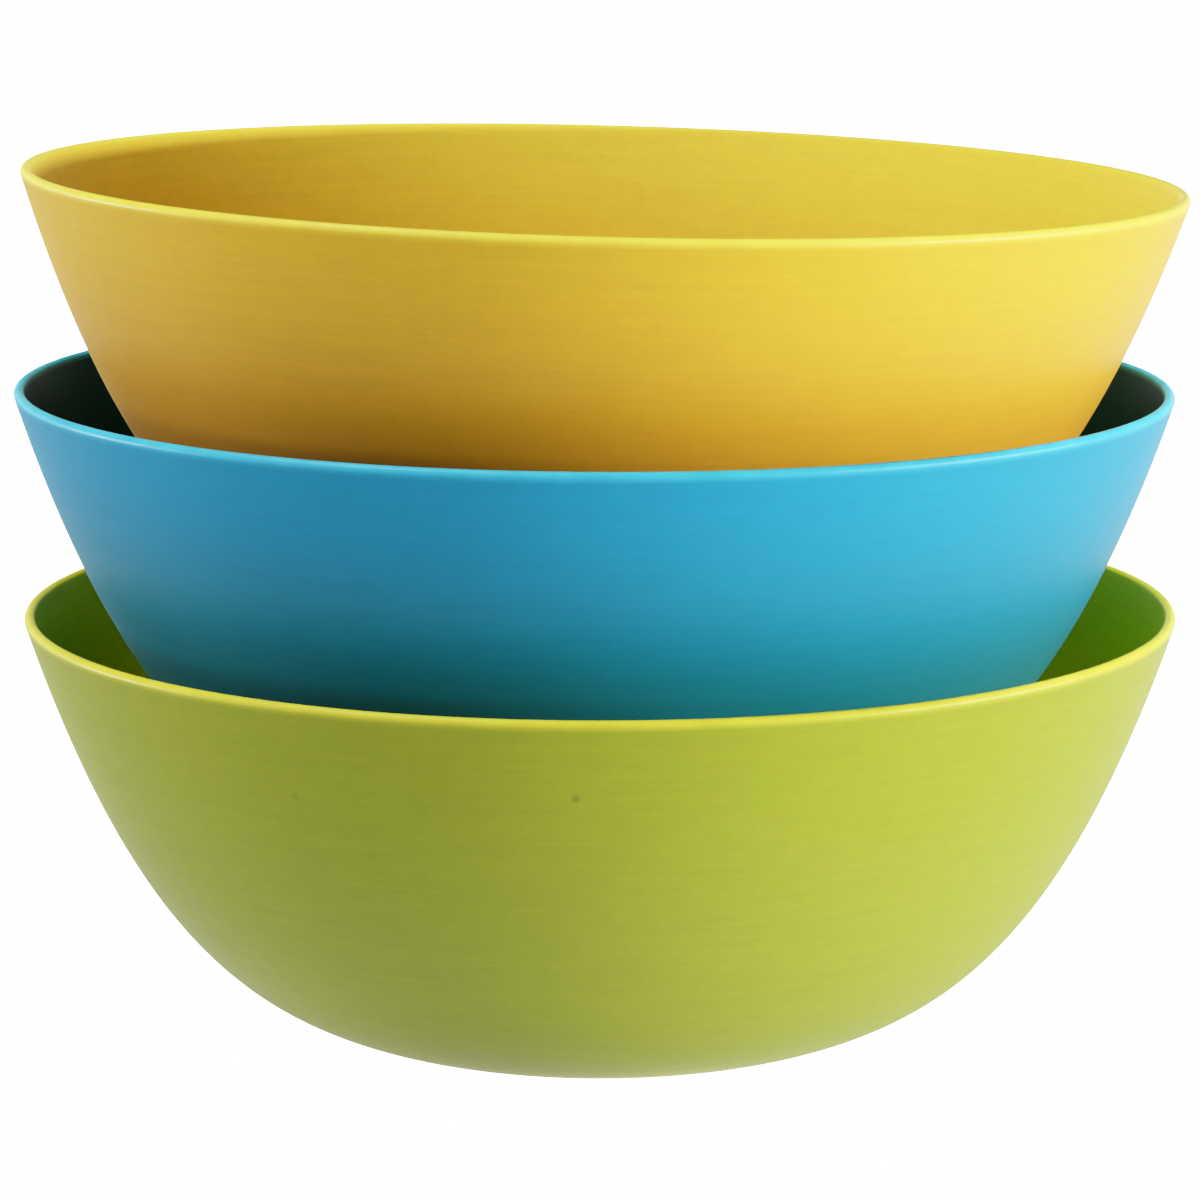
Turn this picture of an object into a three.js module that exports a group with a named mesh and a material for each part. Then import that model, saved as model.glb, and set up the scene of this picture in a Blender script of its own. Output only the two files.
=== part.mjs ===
// Three hair color bowls of one shape, standing one inside the other: green at the bottom,
// then blue, then yellow. Millimetres, +Z up, front towards -Y. The origin is the middle of
// the green bowl's flat base.
import * as THREE from "three";

// The bowl: a round one-piece shell, flat under the base, with a plain rounded lip.
const RIM_RADIUS = 75; // outside, where the wall meets the lip
const BASE_RADIUS = 33; // the flat the bowl stands on
const WALL_HEIGHT = 54.3; // from the base to the outside edge of the lip
const WALL_POWER = 4.15; // how late the wall turns upright; 1 would be a straight cone
const FLOOR_THICKNESS = 2.2;
const LIP_THICKNESS = 1.4; // the wall thins evenly from the floor to the lip

// The stack: where the middle of each upper bowl's base stands, and how far the bowl
// leans. Both sit a little to the left, and the right side of each is the lower one.
const BLUE_HEIGHT = 29.1;
const BLUE_SHIFT = -1.0;
const BLUE_LEAN = THREE.MathUtils.degToRad(0.3);
const YELLOW_HEIGHT = 56.1;
const YELLOW_SHIFT = -0.7;
const YELLOW_LEAN = THREE.MathUtils.degToRad(1.5);

// How finely the round shapes are cut.
const TURN_STEPS = 64;
const WALL_STEPS = 13;
const LIP_STEPS = 6;
const RIM_CROWDING = 1.3; // above 1, the wall's points crowd towards the steep rim

const GREEN = 0xa9b23f;
const BLUE = 0x35a3c8;
const YELLOW = 0xe0c142;

// The wall is a power curve that leaves the base gently and stands steep at the rim. The
// part of the curve inside the base is flattened away, so the height counts from there.
const FLATTENED = (BASE_RADIUS / RIM_RADIUS) ** WALL_POWER;
const CURVE_HEIGHT = WALL_HEIGHT / (1 - FLATTENED);

// Height of the outer wall at a radius.
function wallHeight(radius) {
  return CURVE_HEIGHT * ((radius / RIM_RADIUS) ** WALL_POWER - FLATTENED);
}

// How steeply the outer wall climbs there, in mm of height per mm of radius.
function wallSlope(radius) {
  return ((CURVE_HEIGHT * WALL_POWER) / RIM_RADIUS) * (radius / RIM_RADIUS) ** (WALL_POWER - 1);
}

// The outer and inner faces of the wall from the base up, and the direction through the
// wall at each place.
function wallPairs() {
  const pairs = [];
  for (let step = 0; step <= WALL_STEPS; step += 1) {
    const share = step / WALL_STEPS;
    const radius = RIM_RADIUS - (RIM_RADIUS - BASE_RADIUS) * (1 - share) ** RIM_CROWDING;
    const outer = new THREE.Vector2(radius, wallHeight(radius));
    const inward = new THREE.Vector2(-wallSlope(radius), 1).normalize();
    const thickness = THREE.MathUtils.lerp(FLOOR_THICKNESS, LIP_THICKNESS, share);
    const inner = outer.clone().addScaledVector(inward, thickness);
    pairs.push({ outer, inner, inward });
  }
  return pairs;
}

// The lip: half a circle from the outer face over the top to the inner face.
function lipPoints(rim) {
  const middle = rim.outer.clone().lerp(rim.inner, 0.5);
  const points = [];
  for (let step = 1; step < LIP_STEPS; step += 1) {
    const turn = (Math.PI * step) / LIP_STEPS;
    const spoke = rim.inward.clone().negate().rotateAround(new THREE.Vector2(), turn);
    points.push(middle.clone().addScaledVector(spoke, LIP_THICKNESS / 2));
  }
  return points;
}

function bowlGeometry() {
  const pairs = wallPairs();
  const floorHeight = pairs[0].inner.y;
  const profile = [
    new THREE.Vector2(0, 0),
    ...pairs.map((pair) => pair.outer),
    ...lipPoints(pairs[WALL_STEPS]),
    ...pairs.map((pair) => pair.inner).reverse(),
    new THREE.Vector2(0, floorHeight),
  ];
  const geometry = new THREE.LatheGeometry(profile, TURN_STEPS);
  geometry.rotateX(Math.PI / 2); // the lathe turns about +Y, the bowl stands along +Z
  return geometry;
}

function bowl(name, color) {
  const material = new THREE.MeshStandardMaterial({ color, roughness: 0.45 });
  const mesh = new THREE.Mesh(bowlGeometry(), material);
  mesh.name = name;
  return mesh;
}

function stack() {
  const green = bowl("green_bowl", GREEN);

  const blue = bowl("blue_bowl", BLUE);
  blue.position.set(BLUE_SHIFT, 0, BLUE_HEIGHT);
  blue.rotation.y = BLUE_LEAN;

  const yellow = bowl("yellow_bowl", YELLOW);
  yellow.position.set(YELLOW_SHIFT, 0, YELLOW_HEIGHT);
  yellow.rotation.y = YELLOW_LEAN;

  const group = new THREE.Group();
  group.name = "hair_color_bowls";
  group.add(green, blue, yellow);
  return group;
}

export default stack();
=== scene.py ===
"""Looks for the stack of three hair color bowls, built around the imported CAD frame.

Everything is in metres, in the CAD's own frame: +Z up, front towards -Y, origin in the middle
of the green bowl's flat base. Each CAD bowl is replaced by a finer one of the same shape.
"""

import math

import bmesh
import bpy
from mathutils import Matrix, Vector

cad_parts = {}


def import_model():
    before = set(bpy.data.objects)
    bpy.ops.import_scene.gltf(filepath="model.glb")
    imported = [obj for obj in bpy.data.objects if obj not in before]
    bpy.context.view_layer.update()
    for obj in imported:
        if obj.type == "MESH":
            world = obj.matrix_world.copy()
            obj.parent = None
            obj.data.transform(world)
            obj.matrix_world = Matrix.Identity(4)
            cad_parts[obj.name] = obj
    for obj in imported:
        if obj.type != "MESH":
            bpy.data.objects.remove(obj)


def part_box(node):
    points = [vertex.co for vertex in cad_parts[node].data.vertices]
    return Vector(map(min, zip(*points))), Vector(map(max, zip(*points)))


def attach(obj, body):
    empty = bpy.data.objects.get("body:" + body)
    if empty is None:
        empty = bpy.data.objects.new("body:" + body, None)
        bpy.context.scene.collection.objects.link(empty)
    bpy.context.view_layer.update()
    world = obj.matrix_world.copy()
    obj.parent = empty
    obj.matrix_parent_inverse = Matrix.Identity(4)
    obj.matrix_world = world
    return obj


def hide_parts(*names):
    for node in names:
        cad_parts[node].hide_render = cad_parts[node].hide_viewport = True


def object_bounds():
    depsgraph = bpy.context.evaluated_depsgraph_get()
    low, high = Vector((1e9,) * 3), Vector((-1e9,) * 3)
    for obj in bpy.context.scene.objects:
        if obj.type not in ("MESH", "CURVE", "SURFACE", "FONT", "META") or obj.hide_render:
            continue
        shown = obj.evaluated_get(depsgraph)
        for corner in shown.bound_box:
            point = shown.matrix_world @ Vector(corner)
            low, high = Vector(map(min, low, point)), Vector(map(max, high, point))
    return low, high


MM = 0.001

# The bowl's shape, as in the CAD. Its width and height come from the frame.
BASE_SHARE = 0.44  # radius of the flat base, as a share of the rim's radius
WALL_POWER = 4.15  # how late the wall turns upright
RIM_CROWDING = 1.3  # above 1, the wall's points crowd towards the steep rim
FLOOR_THICKNESS = 2.2 * MM
LIP_THICKNESS = 1.4 * MM
LIP_RISE = 0.65 * LIP_THICKNESS  # how far the lip's round stands above the wall's outer edge
LIP_FADE = 2.2 * MM  # how far from the lip's crest its pale wear and painted highlight have faded out

# Under the base the plastic is drawn in a little, so the bowl stands on a flat ring.
RING_WIDTH = 5 * MM
RECESS_DEPTH = 0.5 * MM
RECESS_SLOPE = 1.2 * MM
GATE_RADIUS = 1.6 * MM
GATE_HEIGHT = 0.3 * MM
GATE_FLAT = 0.5  # share of the gate mark's radius that is flat; its edge is rounded

# How finely the round shapes are cut.
TURN_STEPS = 288
WALL_STEPS = 56
LIP_STEPS = 16
GATE_STEPS = 4
SLOPE_STEPS = 8
FLAT_STEPS = 6  # rings across the floor, and across the recess under it


def srgb(red, green, blue):
    """Scene-linear colour from the 0 to 255 values seen on a screen."""

    def linear(value):
        share = value / 255
        if share <= 0.04045:
            return share / 12.92
        return ((share + 0.055) / 1.055) ** 2.4

    return (linear(red), linear(green), linear(blue), 1.0)


# Facts about each bowl: its CAD node and material slot, how it leans to the right, and its
# colours, which hold painted light and shade. The outside turns darker towards the base in the
# yellow and blue bowls, as painted shade where the bowl below covers it; in the blue this
# colour also carries a painted green tint of light bounced from the green bowl. The inside is
# coloured apart from the outside as painted light and shade: lighter in the yellow and green
# bowls, near black in the blue. It also darkens towards the base as painted shade.
# Specks are dark dots moulded into the plastic: where they are, and how strong.
BOWLS = {
    "green": {
        "node": "green_bowl",
        "slot": "green_plastic",
        "lean": 0.0,
        "outside": srgb(128, 138, 21),
        "low": srgb(126, 136, 32),
        "inside": srgb(196, 186, 7),
        "deep_shade": srgb(196, 182, 7),
        "wear_and_highlight": srgb(222, 214, 52),
        "specks": (
            ((-2.8 * MM, -71.9 * MM, 45.3 * MM), 0.45),
            ((-36.2 * MM, -61.3 * MM, 43.2 * MM), 0.2),
        ),
    },
    "blue": {
        "node": "blue_bowl",
        "slot": "blue_plastic",
        "lean": math.radians(0.3),
        "outside": srgb(8, 122, 165),
        "low": srgb(9, 86, 91),
        # The blue's near black inside is painted shade.
        "inside": srgb(6, 44, 60),
        "deep_shade": srgb(6, 40, 56),
        "wear_and_highlight": srgb(62, 198, 240),
        "specks": (),
    },
    "yellow": {
        "node": "yellow_bowl",
        "slot": "yellow_plastic",
        "lean": math.radians(1.5),
        "outside": srgb(205, 157, 28),
        "low": srgb(170, 112, 22),
        "inside": srgb(247, 213, 67),
        "deep_shade": srgb(228, 170, 39),
        "wear_and_highlight": srgb(250, 238, 72),
        "specks": (),
    },
}
SPECK_SIZE = 0.7 * MM
SPECK_CORE = 0.3  # share of the size over which a speck is at full strength
SPECK_COLOR = srgb(60, 70, 20)


# Geometry


def bowl_size():
    """Radius and height of the wall's outer edge, from the green bowl, which stands straight."""
    low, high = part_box("green_bowl")
    return (high.x - low.x) / 2, high.z - low.z - LIP_RISE


def bowl_place(facts, rim_radius, wall_height):
    """Where the middle of a bowl's base is, worked out from the box of its leaning CAD node."""
    low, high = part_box(facts["node"])
    lean = facts["lean"]
    base_drop = BASE_SHARE * rim_radius * math.sin(lean)
    rim_shift = wall_height * math.sin(lean)
    return Vector(((low.x + high.x) / 2 - rim_shift, (low.y + high.y) / 2, low.z + base_drop))


def wall_points(rim_radius, wall_height):
    """The wall's outer face, its inner face and the direction through it, from the base up."""
    flattened = BASE_SHARE**WALL_POWER
    curve_height = wall_height / (1 - flattened)
    points = []
    for step in range(WALL_STEPS + 1):
        share = step / WALL_STEPS
        part = BASE_SHARE + (1 - BASE_SHARE) * (1 - (1 - share) ** RIM_CROWDING)
        outer = Vector((part * rim_radius, curve_height * (part**WALL_POWER - flattened)))
        slope = curve_height * WALL_POWER * part ** (WALL_POWER - 1) / rim_radius
        inward = Vector((-slope, 1)).normalized()
        thickness = FLOOR_THICKNESS + (LIP_THICKNESS - FLOOR_THICKNESS) * share
        points.append((outer, outer + inward * thickness, inward))
    return points


def lip_points(outer, inner, inward):
    """Half a circle from the outer face over the top to the inner face, ends left out."""
    middle = (outer + inner) / 2
    points = []
    for step in range(1, LIP_STEPS):
        turn = Matrix.Rotation(math.pi * step / LIP_STEPS, 2)
        points.append(middle + turn @ -inward * LIP_THICKNESS / 2)
    return points


def underside_points(base_radius):
    """From the gate mark in the middle of the recess out to the ring the bowl stands on."""
    ring_radius = base_radius - RING_WIDTH
    recess_radius = ring_radius - RECESS_SLOPE
    points = [Vector((0, RECESS_DEPTH - GATE_HEIGHT))]
    for step in range(GATE_STEPS + 1):
        turn = math.pi / 2 * step / GATE_STEPS
        radius = GATE_RADIUS * (GATE_FLAT + (1 - GATE_FLAT) * math.sin(turn))
        points.append(Vector((radius, RECESS_DEPTH - GATE_HEIGHT * math.cos(turn))))
    for step in range(1, FLAT_STEPS):
        points.append(Vector((recess_radius * step / FLAT_STEPS, RECESS_DEPTH)))
    for step in range(SLOPE_STEPS + 1):
        share = step / SLOPE_STEPS
        blend = share * share * (3 - 2 * share)
        points.append(Vector((recess_radius + RECESS_SLOPE * share, RECESS_DEPTH * (1 - blend))))
    return points


def bowl_profile(rim_radius, wall_height):
    """(radius, height, inside, lip) all the way round the bowl's section, axis to axis."""
    wall = wall_points(rim_radius, wall_height)
    profile = [(*point, 0.0, 0.0) for point in underside_points(BASE_SHARE * rim_radius)]
    rim_outer, rim_inner, rim_inward = wall[-1]
    lip = lip_points(rim_outer, rim_inner, rim_inward)
    crest = lip[len(lip) // 2]

    def near_crest(point):
        return max(0.0, 1 - (point - crest).length / LIP_FADE)

    profile += [(*outer, 0.0, near_crest(outer)) for outer, _, _ in wall]
    for step, point in enumerate(lip, start=1):
        profile.append((*point, step / LIP_STEPS, near_crest(point)))
    for _, inner, _ in reversed(wall):
        profile.append((*inner, 1.0, near_crest(inner)))
    floor_radius, floor_height = wall[0][1]
    for step in reversed(range(FLAT_STEPS)):
        profile.append((floor_radius * step / FLAT_STEPS, floor_height, 1.0, 0.0))
    return profile


def ring(mesh, radius, height):
    """The points of the profile's place turned about Z, or the one point on the axis."""
    if radius == 0:
        return [mesh.verts.new((0, 0, height))]
    turns = [2 * math.pi * step / TURN_STEPS for step in range(TURN_STEPS)]
    places = [(radius * math.cos(turn), radius * math.sin(turn), height) for turn in turns]
    return [mesh.verts.new(place) for place in places]


def skin(mesh, below, above):
    """Faces all the way round between two rings, either of which may be a single point."""
    for step in range(TURN_STEPS):
        after = (step + 1) % TURN_STEPS
        if len(below) == 1:
            corners = (below[0], above[after], above[step])
        elif len(above) == 1:
            corners = (below[step], below[after], above[0])
        else:
            corners = (below[step], below[after], above[after], above[step])
        mesh.faces.new(corners).smooth = True


def lathe(name, profile):
    """A closed mesh turned from the profile about Z. The profile's marks become attributes."""
    mesh = bmesh.new()
    inside = mesh.verts.layers.float.new("inside")
    lip = mesh.verts.layers.float.new("lip")
    rings = []
    for radius, height, inside_share, lip_share in profile:
        points = ring(mesh, radius, height)
        for point in points:
            point[inside] = inside_share
            point[lip] = lip_share
        rings.append(points)
    for below, above in zip(rings[:-1], rings[1:]):
        skin(mesh, below, above)
    data = bpy.data.meshes.new(name)
    mesh.to_mesh(data)
    mesh.free()
    return data


def build_bowl(body, facts, profile, rim_radius, wall_height):
    data = lathe(f"{body}_shell", profile)
    data.materials.append(plastic(f"{body}_plastic", facts, wall_height))
    piece = bpy.data.objects.new(f"{body}_shell", data)
    bpy.context.scene.collection.objects.link(piece)
    piece.location = bowl_place(facts, rim_radius, wall_height)
    piece.rotation_euler.y = facts["lean"]
    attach(piece, body)
    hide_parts(facts["node"])
    return piece


# Materials

PLAIN_WHITE = (1, 1, 1, 1)
NOISE_RANGE = (0.2, 0.8)  # where nearly all of a noise pattern's values lie

# The plastic's patterns, in repeats per metre.
CLOUD_SCALE = 22
MOTTLE_SCALE = 420
GRAIN_SCALE = 2400
STREAK_SCALE = 45
STREAK_THINNESS = 46  # how many times finer the streaks are up the wall than round it
SCUFF_SCALE = 160
SCUFF_STRETCH = (3, 1, 9)
WEAR_SCALE = 260
RIPPLE_SCALE = 260

# How much each pattern darkens and lightens the plastic, at most.
CLOUD_SHADE = 0.04
MOTTLE_SHADE = 0.028
GRAIN_SHADE = 0.03
STREAK_SHADE = 0.05

PAINTED_SHADE_FROM = 0.35  # share of the wall's height below which painted shade darkens it towards the base
LIP_WEAR_AND_HIGHLIGHT = (0.3, 0.95)  # where the wear and painted highlight set in and are full; the crest of the lip is at 1
WEAR_RANGE = (0.35, 0.7)  # values of the wear pattern at its faint and its strong patches
WORN_AND_HIGHLIGHT_SHARE = (0.7, 0.9)  # how far the crest is paled by wear and a painted highlight in those patches

CLOUD_RANGE = (0.3, 0.7)
ROUGHNESS = (0.38, 0.48)  # at the two ends of that range
GRAIN_ROUGHNESS = 0.03
SCUFF_RANGE = (0.58, 0.72)  # only the peaks of the scuff pattern show
SCUFF_ROUGHNESS = 0.12

# The relief: how deep it is, how strongly it shows, and each pattern's part in it.
RELIEF_DEPTH = 0.06 * MM
RELIEF_STRENGTH = 0.35
RIPPLE_RELIEF = 0.6
GRAIN_RELIEF = 0.25
STREAK_RELIEF = 0.4

# The outside has a soft shine that pales the sides; the inside is almost without it.
OUTSIDE_SPECULAR = 0.2
INSIDE_SPECULAR = 0.008
SHEEN = 0.15
SHEEN_ROUGHNESS = 0.3
SHEEN_TINT = 0.6  # how far the sheen takes the colour of the lip's wear and painted highlight


class Nodes:
    """Short ways to add shader nodes. All but put and node return an output socket."""

    def __init__(self, tree):
        self.tree = tree
        tree.nodes.clear()

    def put(self, socket, value):
        """Link an output socket to this one, or set this one to a plain value."""
        if isinstance(value, bpy.types.NodeSocket):
            self.tree.links.new(value, socket)
        else:
            socket.default_value = value

    def node(self, kind, **inputs):
        """A node with its inputs set by name, where _ stands for a space."""
        node = self.tree.nodes.new("ShaderNode" + kind)
        for name, value in inputs.items():
            self.put(node.inputs[name.replace("_", " ")], value)
        return node

    def math(self, operation, first, second=0.0):
        node = self.tree.nodes.new("ShaderNodeMath")
        node.operation = operation
        self.put(node.inputs[0], first)
        self.put(node.inputs[1], second)
        return node.outputs[0]

    def spread(self, value, from_low, from_high, to_low=0.0, to_high=1.0):
        """A value carried from one range to another with soft ends."""
        node = self.tree.nodes.new("ShaderNodeMapRange")
        node.interpolation_type = "SMOOTHSTEP"
        for socket, setting in zip(node.inputs, (value, from_low, from_high, to_low, to_high)):
            self.put(socket, setting)
        return node.outputs[0]

    def vary(self, pattern, amount):
        """A noise pattern as a change of up to amount, down or up."""
        return self.spread(pattern, *NOISE_RANGE, -amount, amount)

    def mix(self, share, first, second, blend="MIX"):
        """Two colours mixed. The numbers are the places of the node's colour sockets."""
        node = self.tree.nodes.new("ShaderNodeMix")
        node.data_type = "RGBA"
        node.blend_type = blend
        self.put(node.inputs[0], share)
        self.put(node.inputs[6], first)
        self.put(node.inputs[7], second)
        return node.outputs[2]

    def stretch(self, vector, scale):
        node = self.tree.nodes.new("ShaderNodeMapping")
        self.put(node.inputs["Vector"], vector)
        self.put(node.inputs["Scale"], scale)
        return node.outputs[0]

    def noise(self, vector, scale, detail=2.0, roughness=0.5):
        node = self.node("TexNoise", Vector=vector, Scale=scale, Detail=detail, Roughness=roughness)
        return node.outputs[0]

    def attribute(self, name):
        node = self.tree.nodes.new("ShaderNodeAttribute")
        node.attribute_name = name
        return node.outputs["Fac"]

    def total(self, *values):
        result = values[0]
        for value in values[1:]:
            result = self.math("ADD", result, value)
        return result

    def grey(self, shade):
        return self.node("CombineXYZ", X=shade, Y=shade, Z=shade).outputs[0]

    def glow(self, strength):
        return self.node("Emission", Color=PLAIN_WHITE, Strength=strength).outputs[0]

    def join(self, first, second):
        """Two shaders added together."""
        node = self.tree.nodes.new("ShaderNodeAddShader")
        self.put(node.inputs[0], first)
        self.put(node.inputs[1], second)
        return node.outputs[0]

    def speck(self, vector, middle, strength):
        """The strength near the middle, fading to 0 at a speck's size away."""
        node = self.tree.nodes.new("ShaderNodeVectorMath")
        node.operation = "DISTANCE"
        self.put(node.inputs[0], vector)
        self.put(node.inputs[1], middle)
        core = SPECK_SIZE * SPECK_CORE
        return self.spread(node.outputs["Value"], core, SPECK_SIZE, strength, 0.0)


def plastic_color(n, facts, wall_height, place, inside, patterns):
    """Painted shade low down, painted light and shade inside, patterns, lip wear with a painted
    highlight, specks.
    """
    height = n.node("SeparateXYZ", Vector=place).outputs["Z"]
    # Painted shade: the wall darkens towards its base, inside and out.
    low = n.spread(height, wall_height * PAINTED_SHADE_FROM, wall_height, 1.0, 0.0)
    outside_color = n.mix(low, facts["outside"], facts["low"])
    # The inside colours are painted light and shade, darker towards the base as painted shade.
    inside_color = n.mix(low, facts["inside"], facts["deep_shade"])
    color = n.mix(inside, outside_color, inside_color)

    shade = n.total(
        1.0,
        n.vary(patterns["cloud"], CLOUD_SHADE),
        n.vary(patterns["mottle"], MOTTLE_SHADE),
        n.vary(patterns["grain"], GRAIN_SHADE),
        n.vary(patterns["streak"], STREAK_SHADE),
    )
    color = n.mix(1.0, color, n.grey(shade), "MULTIPLY")

    # The lip's crest is paled in patches, partly by wear and partly by a painted highlight.
    wear_and_highlight = n.spread(n.noise(place, WEAR_SCALE, 3), *WEAR_RANGE, *WORN_AND_HIGHLIGHT_SHARE)
    edge = n.math("MULTIPLY", n.spread(n.attribute("lip"), *LIP_WEAR_AND_HIGHLIGHT), wear_and_highlight)
    color = n.mix(edge, color, facts["wear_and_highlight"])
    for middle, strength in facts["specks"]:
        color = n.mix(n.speck(place, middle, strength), color, SPECK_COLOR)
    return color


def plastic_roughness(n, place, patterns):
    scuff = n.noise(n.stretch(place, SCUFF_STRETCH), SCUFF_SCALE, 5, 0.7)
    return n.total(
        n.spread(patterns["cloud"], *CLOUD_RANGE, *ROUGHNESS),
        n.vary(patterns["grain"], GRAIN_ROUGHNESS),
        n.spread(scuff, *SCUFF_RANGE, 0.0, SCUFF_ROUGHNESS),
    )


def plastic_relief(n, place, patterns):
    height = n.total(
        n.math("MULTIPLY", n.noise(place, RIPPLE_SCALE), RIPPLE_RELIEF),
        n.math("MULTIPLY", patterns["grain"], GRAIN_RELIEF),
        n.math("MULTIPLY", patterns["streak"], STREAK_RELIEF),
    )
    bump = n.node("Bump", Strength=RELIEF_STRENGTH, Distance=RELIEF_DEPTH, Height=height)
    return bump.outputs[0]


def plastic(name, facts, wall_height):
    """Satin moulded plastic: faint flow streaks, fine grain, a worn lip with a painted highlight,
    and painted light and shade inside and low down.
    """
    material = bpy.data.materials.new(name)
    material.use_nodes = True
    n = Nodes(material.node_tree)
    place = n.node("TexCoord").outputs["Object"]
    inside = n.attribute("inside")
    patterns = {
        "cloud": n.noise(place, CLOUD_SCALE, 3),
        "mottle": n.noise(place, MOTTLE_SCALE, 3),
        "grain": n.noise(place, GRAIN_SCALE),
        "streak": n.noise(n.stretch(place, (1, 1, STREAK_THINNESS)), STREAK_SCALE, 4, 0.6),
    }
    shader = n.node(
        "BsdfPrincipled",
        Base_Color=plastic_color(n, facts, wall_height, place, inside, patterns),
        Roughness=plastic_roughness(n, place, patterns),
        Normal=plastic_relief(n, place, patterns),
        Specular_IOR_Level=n.spread(inside, 0.0, 1.0, OUTSIDE_SPECULAR, INSIDE_SPECULAR),
        Sheen_Weight=n.spread(inside, 0.0, 1.0, SHEEN, 0.0),
        Sheen_Roughness=SHEEN_ROUGHNESS,
        Sheen_Tint=n.mix(SHEEN_TINT, PLAIN_WHITE, facts["wear_and_highlight"]),
    )
    n.node("OutputMaterial", Surface=shader.outputs[0])
    return material


def pale_floor():
    """A pale matt floor, white to the camera. It lights the bowls from below less than that."""
    material = bpy.data.materials.new("pale_floor")
    material.use_nodes = True
    n = Nodes(material.node_tree)
    place = n.node("TexCoord").outputs["Object"]

    shade = n.spread(n.noise(place, FLOOR_GRAIN_SCALE), *NOISE_RANGE, *FLOOR_PALENESS)
    seen_paint = n.node("BsdfDiffuse", Color=n.grey(shade)).outputs[0]
    seen = n.join(seen_paint, n.glow(FLOOR_WHITE * WHITE))

    side = n.node("SeparateXYZ", Vector=place).outputs["X"]
    light = n.spread(side, -FLOOR_GLOW_FADE, FLOOR_GLOW_FADE, *FLOOR_GLOW)
    soft = n.join(n.node("BsdfDiffuse", Color=FLOOR_GREY).outputs[0], n.glow(light))

    choice = n.node("MixShader")
    n.put(choice.inputs[0], n.node("LightPath").outputs["Is Camera Ray"])
    n.put(choice.inputs[1], soft)
    n.put(choice.inputs[2], seen)
    n.node("OutputMaterial", Surface=choice.outputs[0])
    return material


# Studio. A light's turn is counted from the camera's side of the bowls, positive to the
# right, and its rise from level. Both are in degrees, sizes in metres, powers in watts.

FLOOR_HALF = 12.0  # half of its side
FLOOR_GRAIN_SCALE = 900
FLOOR_PALENESS = (0.94, 0.97)
WORLD_LIGHT = (5.2, 2.2)  # at the left and at the right
HORIZON_FADE = 0.3  # how far up the light from the horizon has faded out, 1 being overhead
FLOOR_GLOW = (0.18, 1.44)  # at the left and at the right
FLOOR_GLOW_FADE = 0.25  # how far out to each side the glow still changes
FLOOR_GREY = (0.3, 0.3, 0.3, 1)
FLOOR_WHITE = 0.7  # how much of its white the floor gives off by itself, to the camera
WHITE = 8.9  # the scene brightness that prints as white
CURVE_STEPS = 12

# A little below each bowl's middle, so they light its outside and not its inside. Each bowl
# has its own set, as if lit one at a time, so that none shades the wall of the next.
SIDE_LIGHTS = {
    "key": {"turn": 74, "rise": -0.5, "distance": 1.6, "size": (1.25, 0.05), "power": 90},
    "rim": {"turn": -104, "rise": -0.5, "distance": 1.6, "size": (0.6, 0.05), "power": 25},
}

# Overhead on the left, for the inside: most of the outsides face down, away from it.
TOP_LIGHT = {"turn": -74, "rise": 60, "distance": 1.6, "size": (0.4, 0.4), "power": 35}

# Steeply down from behind on the right, for the two lower bowls alone. At rest their walls
# face away from it or are covered, so it pales the far edges of the lips and little else.
LIP_LIGHT = {"turn": 130, "rise": 65, "distance": 1.6, "size": (0.3, 0.3), "power": 42}
LIP_LIGHT_BODIES = ("green", "blue")

# The camera's place, in rim radii from the green bowl's axis and base, and its lens.
CAMERA_DISTANCE = 8.0
CAMERA_HEIGHT = 2.249
CAMERA_PITCH = 0.1867  # radians down from level
CAMERA_SENSOR = 36  # mm, and so is the lens
CAMERA_LENS = 139.55


def build_floor():
    """Level with the bottom of the green bowl's base."""
    mesh = bmesh.new()
    corners = [(-1, -1), (1, -1), (1, 1), (-1, 1)]
    mesh.faces.new([mesh.verts.new((x * FLOOR_HALF, y * FLOOR_HALF, 0)) for x, y in corners])
    data = bpy.data.meshes.new("floor")
    mesh.to_mesh(data)
    mesh.free()
    data.materials.append(pale_floor())
    floor = bpy.data.objects.new("floor", data)
    bpy.context.scene.collection.objects.link(floor)


def build_world():
    """A band of light round the horizon, seen by the camera as plain white."""
    world = bpy.data.worlds.new("studio")
    world.use_nodes = True
    bpy.context.scene.world = world
    n = Nodes(world.node_tree)
    toward = n.node("SeparateXYZ", Vector=n.node("TexCoord").outputs["Generated"])
    band = n.spread(toward.outputs["X"], -1.0, 1.0, *WORLD_LIGHT)
    light = n.spread(toward.outputs["Z"], 0.0, HORIZON_FADE, band, 0.0)
    seen = n.node("LightPath").outputs["Is Camera Ray"]
    strength = n.math("MAXIMUM", light, n.math("MULTIPLY", seen, WHITE))
    back = n.node("Background", Color=PLAIN_WHITE, Strength=strength)
    n.node("OutputWorld", Surface=back.outputs[0])


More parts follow.
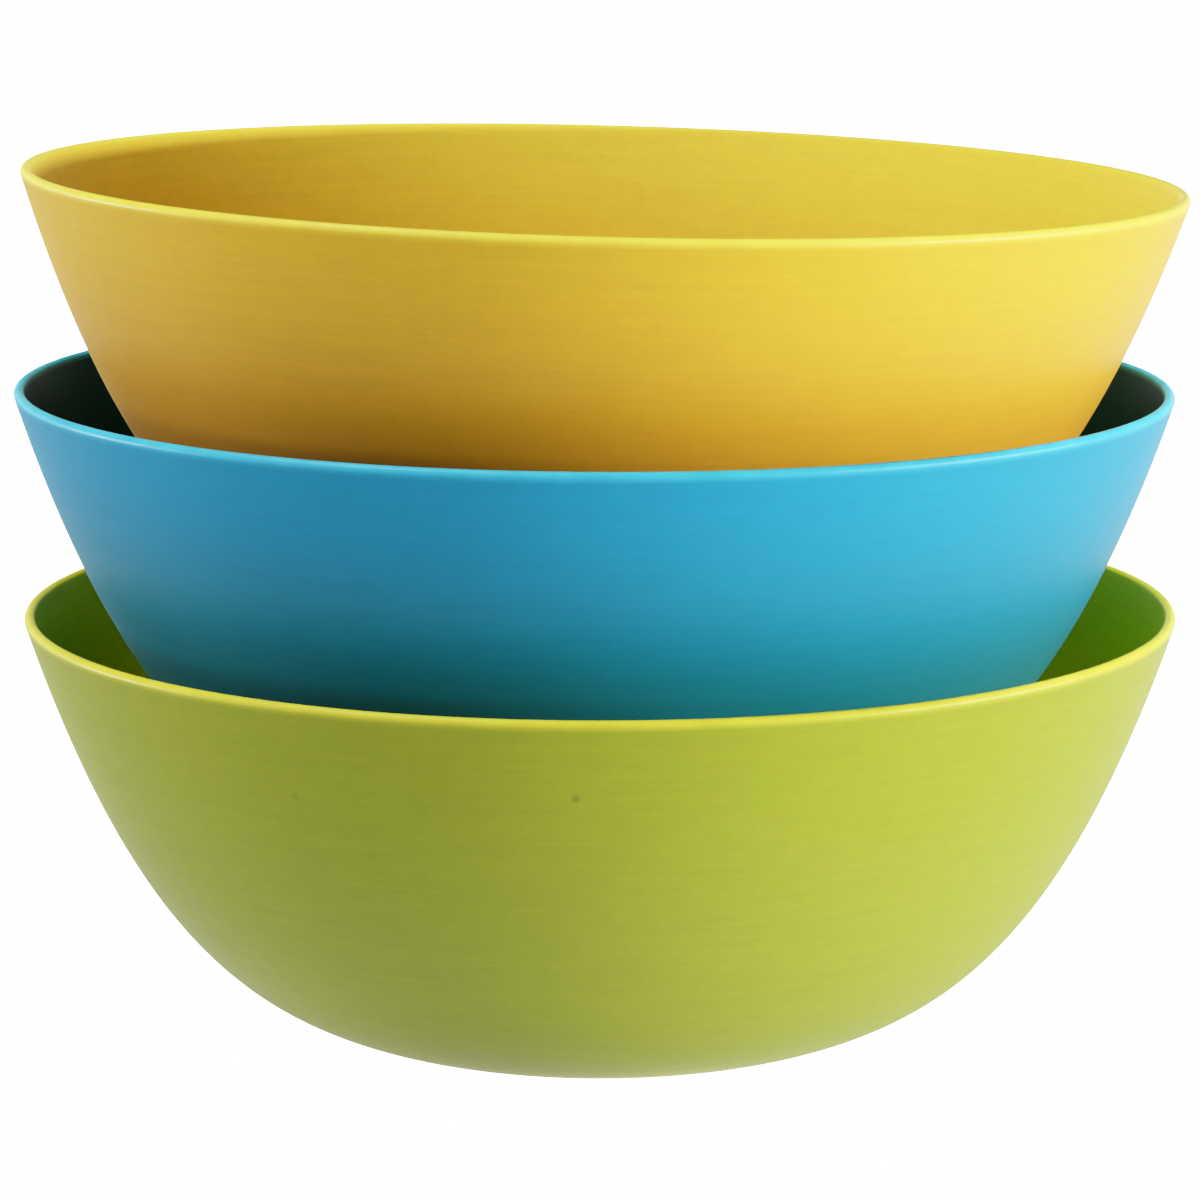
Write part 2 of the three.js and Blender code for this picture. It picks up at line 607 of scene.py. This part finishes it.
def soft_light(name, middle, facts):
    """An area light aimed at the middle, unseen by the camera."""
    data = bpy.data.lights.new(name, "AREA")
    data.shape = "RECTANGLE"
    data.size, data.size_y = facts["size"]
    data.energy = facts["power"]
    light = bpy.data.objects.new(name, data)
    bpy.context.scene.collection.objects.link(light)
    turn = math.radians(facts["turn"])
    rise = math.radians(facts["rise"])
    away = Vector(
        (math.sin(turn) * math.cos(rise), -math.cos(turn) * math.cos(rise), math.sin(rise))
    )
    light.location = middle + away * facts["distance"]
    light.rotation_euler = away.to_track_quat("Z", "Y").to_euler()
    light.visible_camera = False
    return light


def light_only(light, lit):
    """The light reaches these pieces and nothing else. Returns them as a collection."""
    group = bpy.data.collections.new(light.name)
    for piece in lit:
        group.objects.link(piece)
    light.light_linking.receiver_collection = group
    return group


def build_lights(middle, pieces):
    for body, piece in pieces.items():
        low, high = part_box(BOWLS[body]["node"])
        for name, facts in SIDE_LIGHTS.items():
            light = soft_light(f"{name}_{body}", (low + high) / 2, facts)
            itself = light_only(light, [piece])
            light.light_linking.blocker_collection = itself  # the other bowls cast no shadow
    soft_light("top", middle, TOP_LIGHT)
    lips = soft_light("lips", middle, LIP_LIGHT)
    light_only(lips, [pieces[body] for body in LIP_LIGHT_BODIES])


def print_curve():
    """A gentle shoulder, as on a printed picture: bright colours level off instead of clipping."""
    settings = bpy.context.scene.view_settings
    settings.view_transform = "Standard"
    settings.use_curve_mapping = True
    curves = settings.curve_mapping
    curves.white_level = (WHITE, WHITE, WHITE)
    curve = curves.curves[3]  # the one for all three colours together
    for step in range(1, CURVE_STEPS):
        share = (step / CURVE_STEPS) ** 2
        bright = (1 - math.exp(-share * WHITE)) / (1 - math.exp(-WHITE))
        curve.points.new(share, bright)
    curves.update()


def build_camera(rim_radius):
    data = bpy.data.cameras.new("camera")
    data.sensor_width = CAMERA_SENSOR
    data.lens = CAMERA_LENS
    camera = bpy.data.objects.new("camera", data)
    bpy.context.scene.collection.objects.link(camera)
    camera.location = (0, -CAMERA_DISTANCE * rim_radius, CAMERA_HEIGHT * rim_radius)
    camera.rotation_euler = (math.pi / 2 - CAMERA_PITCH, 0, 0)
    bpy.context.scene.camera = camera


def main():
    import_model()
    cad_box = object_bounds()
    rim_radius, wall_height = bowl_size()
    profile = bowl_profile(rim_radius, wall_height)
    pieces = {
        body: build_bowl(body, facts, profile, rim_radius, wall_height)
        for body, facts in BOWLS.items()
    }

    middle = (cad_box[0] + cad_box[1]) / 2
    build_floor()
    build_world()
    build_lights(middle, pieces)
    build_camera(rim_radius)
    print_curve()


main()
